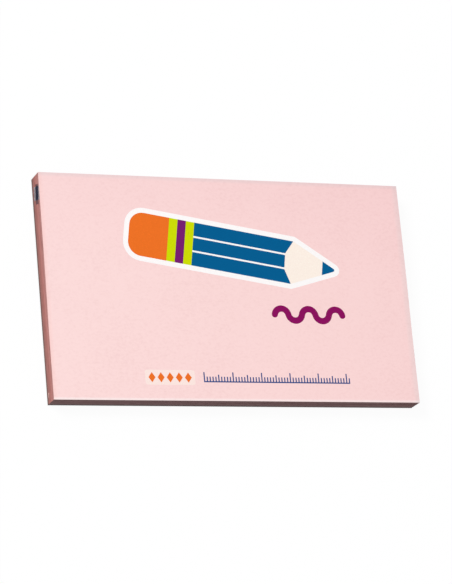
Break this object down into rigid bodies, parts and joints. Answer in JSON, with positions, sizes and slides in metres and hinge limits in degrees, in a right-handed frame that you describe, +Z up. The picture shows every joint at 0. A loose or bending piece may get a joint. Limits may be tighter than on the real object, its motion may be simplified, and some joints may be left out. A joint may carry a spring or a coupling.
{
  "type": "sticky note pad",
  "caption": "Flat rectangular pad of pink sticky notes, glued along one long edge, with a printed top sheet and a card backing.",
  "frame": {"origin": "middle of the pad's underside, on the surface it lies on", "axes": "+X along the long edges, +Y across the sheets towards the glued long edge, +Z up out of the printed top sheet"},
  "size_m": [0.127, 0.076, 0.0075],
  "materials": {
    "backing_card": "matte light card",
    "note_paper": "matte uncoated pastel pink paper, cut edges deeper pink",
    "cover_paper": "matte uncoated pastel pink paper with flat printed colour fields"
  },
  "bodies": {
    "root": {"backing_sheet": "backing_card", "note_sheets": "note_paper", "cover_sheet": "cover_paper"}
  },
  "joints": []
}
